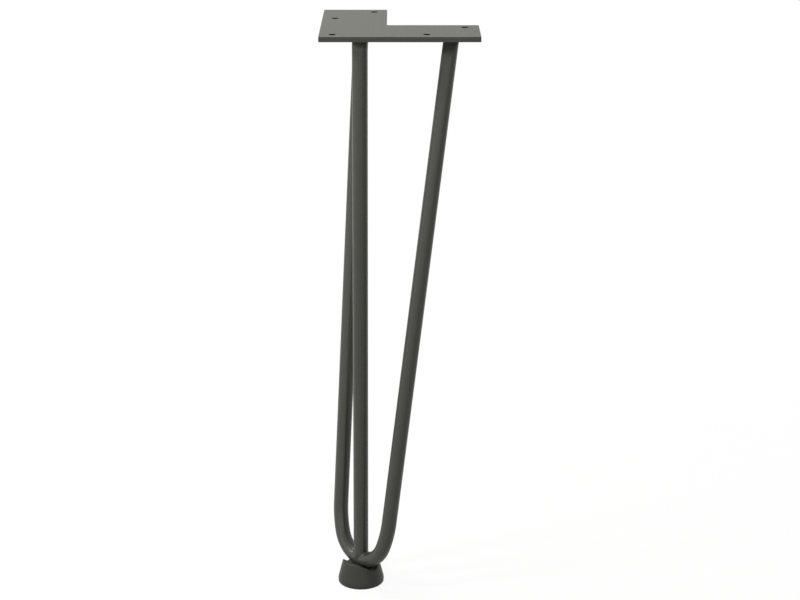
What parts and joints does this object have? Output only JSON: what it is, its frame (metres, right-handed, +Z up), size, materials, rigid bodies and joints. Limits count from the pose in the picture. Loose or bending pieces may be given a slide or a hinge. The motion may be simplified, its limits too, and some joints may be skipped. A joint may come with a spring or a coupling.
{
  "type": "hairpin table leg",
  "caption": "Hairpin table leg: an L-shaped screw plate, a bent round bar with a straight bar in its corner, and a small turned foot under the bend.",
  "frame": {"origin": "on the corner bar's axis at the plate's top face, where the leg meets the table top", "axes": "+Z up out of the plate's top face, +X and +Y along the plate's two arms; the leg hangs down to its foot at z = -0.455"},
  "size_m": [0.12, 0.12, 0.455],
  "materials": {
    "powder_coat": "satin grey powder coat, slightly warm, fine orange peel"
  },
  "bodies": {
    "root": {"mounting_plate": "powder_coat", "hairpin_bar": "powder_coat", "corner_bar": "powder_coat", "foot": "powder_coat", "corner_bar_weld": "powder_coat", "hairpin_x_arm_weld": "powder_coat", "hairpin_y_arm_weld": "powder_coat"}
  },
  "joints": []
}
